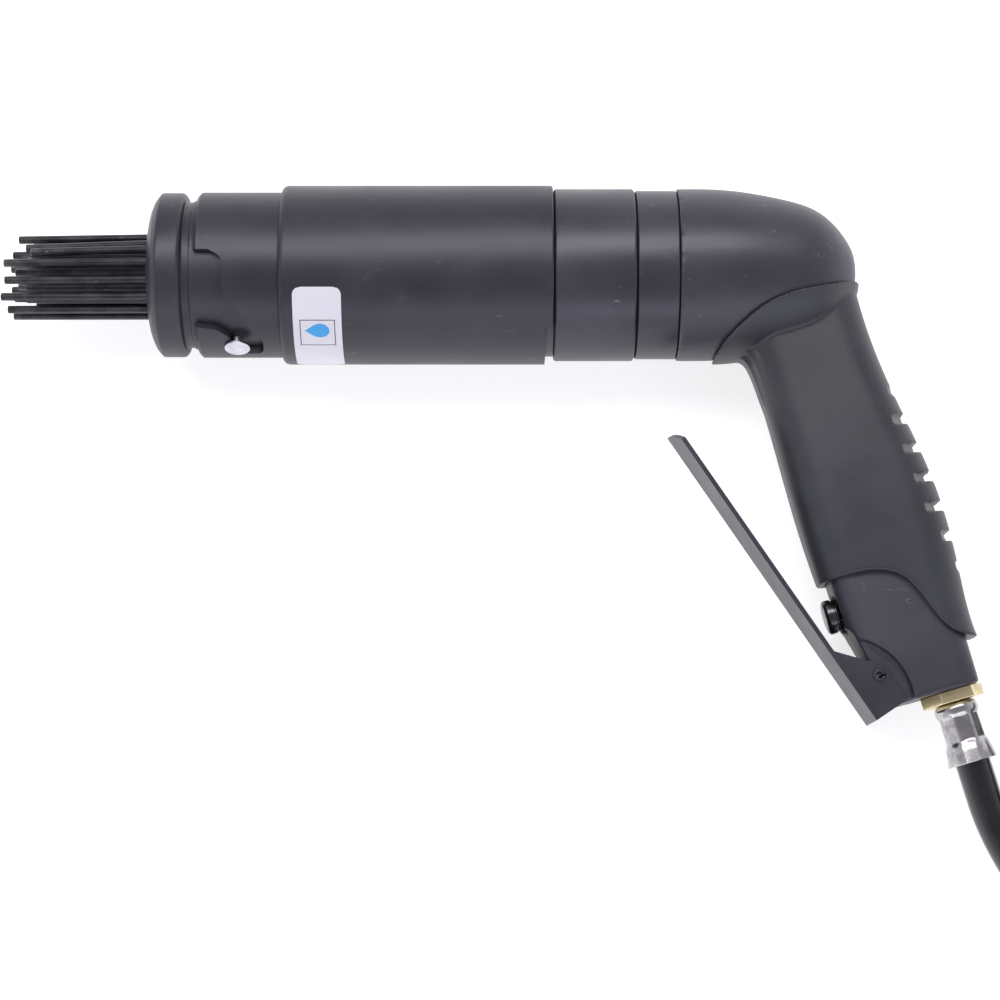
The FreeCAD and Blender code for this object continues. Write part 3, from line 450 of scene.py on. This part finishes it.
def wall_cutter(stations, inner, outer):
    """A closed block through the barrel's wall from (angle, front x, back x) stations."""
    vertices = []
    for angle, front, back in stations:
        for x, radius in ((front, inner), (back, inner), (back, outer), (front, outer)):
            vertices.append(barrel_point(x, radius, angle))
    faces = [[0, 1, 2, 3], [len(vertices) - 1 - i for i in range(4)]]
    for index in range(len(stations) - 1):
        base = index * 4
        for side in range(4):
            after = (side + 1) % 4
            faces.append([base + side, base + after, base + 4 + after, base + 4 + side])
    mesh = bpy.data.meshes.new("cutter")
    mesh.from_pydata([tuple(v) for v in vertices], [], faces)
    shell = bmesh.new()
    shell.from_mesh(mesh)
    bmesh.ops.recalc_face_normals(shell, faces=shell.faces)
    shell.to_mesh(mesh)
    shell.free()
    cutter = bpy.data.objects.new("cutter", mesh)
    bpy.context.scene.collection.objects.link(cutter)
    return cutter


# ---------------------------------------------------------------- nose and barrel

def make_nose():
    profile = [
        (-132.0, 18.6), (-132.0, 21.5), (-131.1, 25.2), (-129.6, 28.6), (-127.5, 31.1),
        (-119.6, 31.1), (-118.4, 29.9), (-118.4, 27.6), (-115.4, 27.6), (-115.4, 28.2), (-58.8, 28.2),
        (-58.0, 27.4), (-58.0, 24.5), (-120.1, 24.5), (-120.1, 17.6), (-131.0, 17.6),
    ]
    nose = barrel_lathe("nose_tube", rounded(profile, 0.7), "nose", "blackened_steel", ["front_tube"])
    smooth(nose, 40)


def make_pins():
    for index, turn in enumerate((0, 180)):
        outward = (barrel_point(0, 1, PIN_ANGLE + turn) - barrel_point(0, 0, 0)).normalized()
        profile = [(25.2, 0), (25.2, 2.25), (31.5, 2.25), (31.5, 4.45), (31.65, 4.75), (32.25, 4.75),
                   (32.45, 4.5), (32.5, 4.1), (32.5, 0)]
        nodes = ["bayonet_pins"] if index == 0 else ()
        pin = lathe("bayonet_pin_%d" % (index + 1), barrel_point(PIN_X, 0, 0), outward, profile, "nose",
                    "bright_steel", nodes, 64)
        smooth(pin, 50)


def edge_at(edge, angle):
    for (angle_a, x_a), (angle_b, x_b) in zip(edge, edge[1:]):
        if angle_b <= angle <= angle_a:
            return x_a + (x_b - x_a) * (angle_a - angle) / (angle_a - angle_b)
    return edge[0][1] if angle > edge[0][0] else edge[-1][1]


def softened(edge, angle):
    """The edge's station, averaged over a degree or so, which rounds its corners as a cutter leaves them."""
    offsets = (-1.2, -0.6, 0.0, 0.6, 1.2)
    return sum(edge_at(edge, angle + offset) for offset in offsets) / len(offsets)


def make_housing():
    profile = [
        (HOUSING_FRONT_X, HOUSING_BORE_R + 0.6), (HOUSING_FRONT_X, HOUSING_R - 1.2),
        (HOUSING_FRONT_X + 1.2, HOUSING_R), (HOUSING_BACK_X, HOUSING_R), (HOUSING_BACK_X, HOUSING_BORE_R),
        (HOUSING_FRONT_X + 0.6, HOUSING_BORE_R),
    ]
    housing = barrel_lathe("housing_tube", profile, "body", "blackened_steel", ["bayonet_housing"], 180)
    for turn in (0, 180):
        stations = []
        for step in range(89):
            angle = 18 - step
            front = softened(SLOT_FRONT, angle)
            back = softened(SLOT_BACK, angle)
            stations.append((angle + SLOT_TURN + turn, front, back))
        cut(housing, wall_cutter(stations, HOUSING_BORE_R - 2, HOUSING_R + 2))
    bevel(housing, 0.45, 3, 35)


def make_sleeve():
    profile = [
        (SLEEVE_FRONT_X, 31.6), (SLEEVE_FRONT_X, 32.0), (SLEEVE_FRONT_X + 0.35, 32.9),
        (SLEEVE_FRONT_X + 1.1, 33.55), (SLEEVE_FRONT_X + 2.4, SLEEVE_R), (SLEEVE_BACK_X - 0.5, SLEEVE_R),
        (SLEEVE_BACK_X, SLEEVE_R - 0.5), (SLEEVE_BACK_X, 31.6),
    ]
    sleeve = barrel_lathe("sleeve_tube", profile, "body", "blackened_steel", ["body_sleeve"], 180)
    start, end = GAP_ANGLES
    stations = []
    for angle in range(start, end - 1, -2):
        stations.append((angle, SLEEVE_BACK_X - 3.0, SLEEVE_BACK_X + 3.0))
    cut(sleeve, wall_cutter(stations, 30.0, 36.0))
    bevel(sleeve, 0.25, 2, 35)


def make_rings():
    rear = [(20.2, 26.0), (20.2, 31.9), (20.9, 32.6), (49.9, 32.6), (50.6, 31.9), (50.6, 26.0), (36.0, 26.0),
            (36.0, 20.0), (29.5, 20.0), (29.5, 26.0)]
    ring = barrel_lathe("rear_ring_shell", rounded(rear, 0.25, 3), "body", "anodised_ring", ["rear_ring"])
    smooth(ring, 40)
    lock = [(51.0, 25.4), (51.0, 31.4), (51.5, 31.9), (66.1, 31.9), (66.6, 31.4), (66.6, 22.0), (55.0, 22.0),
            (55.0, 25.4)]
    ring = barrel_lathe("lock_ring_shell", rounded(lock, 0.25, 3), "body", "anodised_ring", ["lock_ring"])
    smooth(ring, 40)


# ---------------------------------------------------------------- label

def label_point(x, arc, lift):
    """A point on the sleeve: arc is the way round from the label's upper end."""
    radius = SLEEVE_R + lift
    return barrel_point(x, radius, LABEL_ANGLES[0] - math.degrees(arc / SLEEVE_R))


def label_patch(name, middle, span, half_width, lift, slot, nodes=(), material=None, rows=48, columns=8,
                along_barrel=False):
    """A thin patch on the sleeve, as long as its span and as wide as half_width says along it.

    The span is an arc round the sleeve and the middle an x, or the other way about along the barrel."""
    vertices = []
    for layer in (lift, lift - 0.06):
        for row in range(rows + 1):
            place = span[0] + (span[1] - span[0]) * row / rows
            half = half_width(place - span[0], span[1] - place)
            for column in range(columns + 1):
                side = middle + half * (2 * column / columns - 1)
                x, arc = (place, side) if along_barrel else (side, place)
                vertices.append(label_point(x, arc, layer))
    wide = columns + 1
    layer_size = wide * (rows + 1)
    faces = []
    for row in range(rows):
        for column in range(columns):
            corner = row * wide + column
            face = [corner, corner + 1, corner + wide + 1, corner + wide]
            faces.append(face)
            faces.append([index + layer_size for index in reversed(face)])
    border = list(range(wide))
    border += [row * wide + columns for row in range(1, rows + 1)]
    border += [rows * wide + column for column in range(columns - 1, -1, -1)]
    border += [row * wide for row in range(rows - 1, 0, -1)]
    for first, second in zip(border, border[1:] + border[:1]):
        faces.append([first, second, second + layer_size, first + layer_size])
    patch = make_piece(name, vertices, faces, "body", slot, nodes, material)
    smooth(patch, 50)
    return patch


def corner_width(half, radius):
    """Half width of a strip whose ends have rounded corners."""
    def width(from_start, from_end):
        near = min(from_start, from_end)
        if near >= radius:
            return half
        return half - radius + math.sqrt(max(0.0, radius ** 2 - (radius - near) ** 2))
    return width


def drop_width(half, length):
    """Half width of a drop with its tip first."""
    def width(from_start, from_end):
        share = from_start / length
        if share < 0.62:
            return max(0.02, half * math.sin(share / 0.62 * math.pi / 2) ** 1.35)
        return max(0.02, half * math.sqrt(max(0.0, 1 - ((share - 0.62) / 0.38) ** 2)))
    return width


def make_label():
    middle = sum(LABEL_X) / 2
    half = (LABEL_X[1] - LABEL_X[0]) / 2
    length = math.radians(LABEL_ANGLES[0] - LABEL_ANGLES[1]) * SLEEVE_R
    label_patch("label_sheet", middle, (0, length), corner_width(half, LABEL_CORNER), 0.12, "label_film",
                ["oil_label"], rows=96)
    label_patch("label_drop", 17.7, (middle - 5.0, middle + 4.4), drop_width(3.2, 9.4), 0.16, "label_film",
                material=PRINT_BLUE, along_barrel=True)
    left = middle - 6.4
    right = middle + 6.4
    top = 13.0
    bottom = 25.0
    line = 0.16
    across = (left - line, right + line)
    strips = [(left, (top, bottom), False), (right, (top, bottom), False), (top, across, True),
              (bottom, across, True)]
    for index, (place, span, along) in enumerate(strips):
        label_patch("label_line_%d" % (index + 1), place, span, lambda from_start, from_end: line, 0.15,
                    "label_film", material=PRINT_BLACK, rows=16, columns=2, along_barrel=along)


# ---------------------------------------------------------------- needles

def mean_point(points):
    return sum(points, Vector()) / len(points)


def make_needles():
    """The needles on their CAD axes, each with its own small wear at the tip."""
    chance = random.Random(WEAR_SEED)
    for name in sorted(n for n in frame["nodes"] if n.startswith("needle_") and n[7:].isdigit()):
        points = [v.co.copy() for v in frame["nodes"][name].data.vertices]
        front = min(p.x for p in points)
        back = max(p.x for p in points)
        tip = mean_point([p for p in points if p.x < front + END_SLICE * MM])
        head = mean_point([p for p in points if p.x > back - END_SLICE * MM])
        direction = (head - tip).normalized()
        length = (head - tip).length / MM
        chamfer = chance.uniform(0.3, 0.55)
        profile = [
            (0.0, 0), (0.0, NEEDLE_R - chamfer), (chamfer * 0.4, NEEDLE_R - chamfer * 0.3),
            (chamfer, NEEDLE_R), (length - 3.4, NEEDLE_R), (length - 3.0, 1.7), (length - 2.9, 2.2),
            (length - 2.7, NEEDLE_HEAD_R), (length - 0.3, NEEDLE_HEAD_R), (length, 2.0), (length, 0),
        ]
        needle = lathe(name + "_rod", tip, direction, profile, name, "needle_steel", [name], 32)
        smooth(needle, 40)


# ---------------------------------------------------------------- handle

def make_body_and_grip():
    cast_copy("body_casting_skin", "pistol_body", "body_casting", 0.8, 4)
    cast_copy("grip_skin", "grip_cover", "grip_rubber", 0.6, 4)


def make_lever():
    lever = clean_copy("lever_sheet", "throttle_lever", "lever", "blackened_steel")
    bevel(lever, 0.55, 3, 40)
    pin = clean_copy("lever_roll_pin", "lever_pin", "body", "spring_steel")
    bevel(pin, 0.15, 2, 40)


def make_button():
    start = handle_point(THROTTLE_S, 0)
    profile = [(19.5, 0), (19.5, 3.0), (31.9, 3.0), (31.9, 5.9), (32.2, 6.2), (32.9, 6.2), (33.1, 5.7),
               (33.4, 5.7), (33.6, 6.4), (35.6, 6.5), (36.2, 6.3), (36.6, 5.7), (36.8, 4.8), (36.9, 3.6),
               (36.9, 0)]
    button = lathe("button_cap", start, HANDLE_FRONT, profile, "button", "hard_steel", ["throttle_button"],
                   96, material=BUTTON_STEEL)
    smooth(button, 50)


# ---------------------------------------------------------------- inlet and hose

def make_inlet():
    nipple = clean_copy("inlet_hexagon", "inlet_nipple", "body", "brass")
    bevel(nipple, 0.5, 3, 40)


def crimped(low, high):
    """A radius share that presses flats into a ferrule between two distances."""
    half_flat = math.pi / CRIMP_FLATS

    def share(angle, distance):
        ramp = min(1.0, max(0.0, (distance - low) / 0.8), max(0.0, (high - distance) / 1.4))
        if not low < distance < high:
            return 1.0
        within = (angle + half_flat) % (2 * half_flat) - half_flat
        flat = math.cos(half_flat) / math.cos(within) + 0.03
        return 1.0 + ramp * (min(flat, 1.0) - 1.0)
    return share


def make_ferrules():
    length = FERRULE_END_S - FERRULE_START_S
    profile = [(0, 5.25), (0, 6.6), (0.4, 7.3), (1.2, 7.9), (2.2, 8.1), (3.4, 8.1), (4.4, 7.8), (5.2, 7.3),
               (5.6, 7.2)]
    profile += [(5.6 + step * 0.4, 7.2 + 0.012 * step) for step in range(1, 23)]
    profile += [(15.0, 7.6), (15.8, 7.9), (17.0, 8.3), (18.6, 8.6), (20.4, 8.9), (length - 0.8, 9.2),
                (length - 0.2, 9.3), (length, 9.1), (length, 6.55), (1.5, 6.55), (1.5, 5.25)]
    ferrule = lathe("ferrule_crimped", handle_point(FERRULE_START_S, 0), HANDLE_DOWN, profile, "body",
                    "nickel", ["hose_ferrule"], 192, crimped(4.9, 15.6))
    smooth(ferrule, 28)


def hose_route():
    """The hose's points, listed one by one except for the coil's turns."""
    start = handle_point(FERRULE_END_S, 0)
    points = [handle_point(FERRULE_END_S - 14, 0), start, start + HANDLE_DOWN * 28 * MM]
    points += [floor_point(x, y, z) for x, y, z in (
        (200.0, -238.0, 7.2), (224.0, -259.0, HOSE_R), (254.0, -270.5, HOSE_R))]
    points += coil_points()
    centre = COIL_CENTRE
    points += [floor_point(centre.x + x, centre.y + y, z) for x, y, z in (
        (COIL_R, -10.0, 3 * HOSE_R), (COIL_R + 3.0, 20.0, 17.9), (COIL_R + 2.0, 50.0, 13.4),
        (COIL_R - 5.0, 79.0, 9.9), (COIL_R - 15.0, 107.0, PLUG_HEIGHT))]
    return points


def coil_points():
    """One turn and a quarter, rising from the floor onto itself before it meets the lead."""
    per_turn = 14
    first, last = 270.0, 352.7 + 360.0
    count = round((last - first) / 360.0 * per_turn)
    reach = COIL_R / math.cos(math.pi / per_turn)
    points = []
    for index in range(count):
        bearing = first + (last - first) * index / count
        passed = bearing - first
        rise = min(1.0, max(0.0, (passed - 215.0) / 105.0))
        height = HOSE_R + 2 * HOSE_R * rise * rise * (3 - 2 * rise)
        turn = math.radians(bearing)
        points.append(floor_point(COIL_CENTRE.x + reach * math.cos(turn),
                                  COIL_CENTRE.y + reach * math.sin(turn), height))
    return points


def make_hose():
    curve = bpy.data.curves.new("hose", "CURVE")
    curve.dimensions = "3D"
    spline = curve.splines.new("NURBS")
    route = hose_route()
    spline.points.add(len(route) - 1)
    for point, place in zip(spline.points, route):
        point.co = (*place, 1.0)
    spline.order_u = 3
    spline.use_endpoint_u = True
    spline.resolution_u = 12
    hose = bpy.data.objects.new("hose", curve)
    bpy.context.scene.collection.objects.link(hose)
    bpy.context.view_layer.update()
    line = bpy.data.meshes.new_from_object(hose)
    curve.bevel_depth = HOSE_R * MM
    curve.bevel_resolution = 10
    curve.use_fill_caps = True
    curve.materials.append(MATERIALS["hose_skin"])
    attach(hose, "body")
    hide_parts("hose_lead", "hose_coil", "hose_tail")
    plug_pieces = make_plug(route)


def hexagonal(angle, distance):
    """A radius share that turns a round collar into a hexagon between two distances."""
    if not 3.4 < distance < 8.6:
        return 1.0
    within = (angle + math.pi / 6) % (math.pi / 3) - math.pi / 6
    return math.cos(math.pi / 6) / math.cos(within)


def make_plug(route):
    end = route[-1]
    heading = (route[-1] - route[-2]).normalized()
    profile = [(-20.0, 6.55), (-20.0, 8.6), (-19.6, 8.9), (-16.0, 8.3), (-12.0, 7.6), (-9.5, 7.4),
               (-7.5, 7.9), (-5.5, 7.5), (-4.0, 7.2), (-2.0, 7.5), (0.0, 7.9), (2.0, 7.9), (2.8, 7.2),
               (2.8, 5.0), (0.05, 5.0), (0.05, 6.55)]
    ferrule = lathe("plug_ferrule_crimped", end, heading, profile, "body", "nickel", ["plug_ferrule"], 96,
                    crimped(-17, -1))
    smooth(ferrule, 28)
    profile = [(0.1, 3.4), (0.1, 4.95), (3.0, 4.95), (3.0, 7.9), (3.5, 8.6), (8.5, 8.6), (9.0, 7.9),
               (9.0, 5.2), (13.0, 5.2), (14.0, 6.7), (14.4, 6.9), (15.7, 6.9), (16.2, 6.7), (18.0, 5.95),
               (34.0, 5.95), (34.9, 5.5), (35.2, 5.0), (35.2, 3.6), (34.8, 3.4)]
    plug = lathe("plug_nipple", end, heading, profile, "body", "nickel", ["hose_plug"], 96, hexagonal)
    smooth(plug, 30)
    return [ferrule, plug]


# ---------------------------------------------------------------- inner pieces, stage, camera

def finish_inner_nodes():
    """CAD nodes that stay as they are get their slot's material."""
    slots = {part["node"]: part["material_slot"] for part in frame["record"]["subparts"]}
    for name, piece in frame["nodes"].items():
        if piece.hide_render:
            continue
        piece.data.materials.clear()
        piece.data.materials.append(MATERIALS[slots[name]])
        piece.data.shade_smooth()
        piece.data.set_sharp_from_angle(angle=math.radians(30))


def make_floor():
    mesh = bpy.data.meshes.new("floor")
    reach = 6.0
    mesh.from_pydata([(-reach, -reach, 0), (reach, -reach, 0), (reach, reach, 0), (-reach, reach, 0)], [],
                     [(0, 1, 2, 3)])
    floor = bpy.data.objects.new("floor", mesh)
    floor.location.z = -0.0002
    material = bpy.data.materials.new("floor")
    material.use_nodes = True
    shader = material.node_tree.nodes["Principled BSDF"]
    shader.inputs["Base Color"].default_value = (0.55, 0.55, 0.56, 1)
    shader.inputs["Roughness"].default_value = 0.9
    shader.inputs["Emission Color"].default_value = (1.0, 1.0, 1.0, 1)
    shader.inputs["Emission Strength"].default_value = 0.75
    mesh.materials.append(material)
    bpy.context.scene.collection.objects.link(floor)


def area_light(name, place, aim, size, power, colour=(1, 1, 1)):
    lamp = bpy.data.lights.new(name, "AREA")
    lamp.shape = "RECTANGLE"
    lamp.size, lamp.size_y = size
    lamp.energy = power
    lamp.color = colour
    light = bpy.data.objects.new(name, lamp)
    light.location = place
    light.rotation_euler = (Vector(aim) - Vector(place)).to_track_quat("-Z", "Y").to_euler()
    bpy.context.scene.collection.objects.link(light)


def make_world():
    """A light tent: bright towards the horizon and dim overhead."""
    world = bpy.data.worlds.new("studio")
    world.use_nodes = True
    tree = world.node_tree
    split = node(tree, "ShaderNodeSeparateXYZ")
    link(tree, node(tree, "ShaderNodeTexCoord").outputs["Generated"], split.inputs[0])
    background = tree.nodes["Background"]
    background.inputs["Color"].default_value = (0.91, 0.90, 1.0, 1)
    link(tree, remap(tree, split.outputs["Z"], 0.1, 0.9, 1.05, 0.35), background.inputs["Strength"])
    bpy.context.scene.world = world


def make_lights():
    area_light("key", (-0.1, 0.47, 1.1), (0.02, 0.05, 0.03), (1.5, 0.42), 12.0, (1.0, 0.98, 0.99))
    area_light("fill", (0.2, -1.0, 0.5), (0, 0, 0.02), (1.6, 0.4), 3.0, (0.90, 0.92, 1.0))


def make_camera():
    camera = bpy.data.cameras.new("camera")
    camera.lens = LENS
    camera.clip_start = 0.01
    holder = bpy.data.objects.new("camera", camera)
    aim = tool_point(*AIM)
    offset = Vector((0, -math.cos(CAMERA_ELEVATION), math.sin(CAMERA_ELEVATION)))
    holder.location = aim + offset * CAMERA_DISTANCE
    holder.rotation_euler = (-offset).to_track_quat("-Z", "Y").to_euler()
    bpy.context.scene.collection.objects.link(holder)
    bpy.context.scene.camera = holder


make_camera()
make_floor()
make_world()
make_lights()
make_hose()
make_nose()
make_pins()
make_housing()
make_sleeve()
make_rings()
make_label()
make_needles()
make_body_and_grip()
make_lever()
make_button()
make_inlet()
make_ferrules()
finish_inner_nodes()
bpy.context.scene.view_settings.view_transform = "Standard"
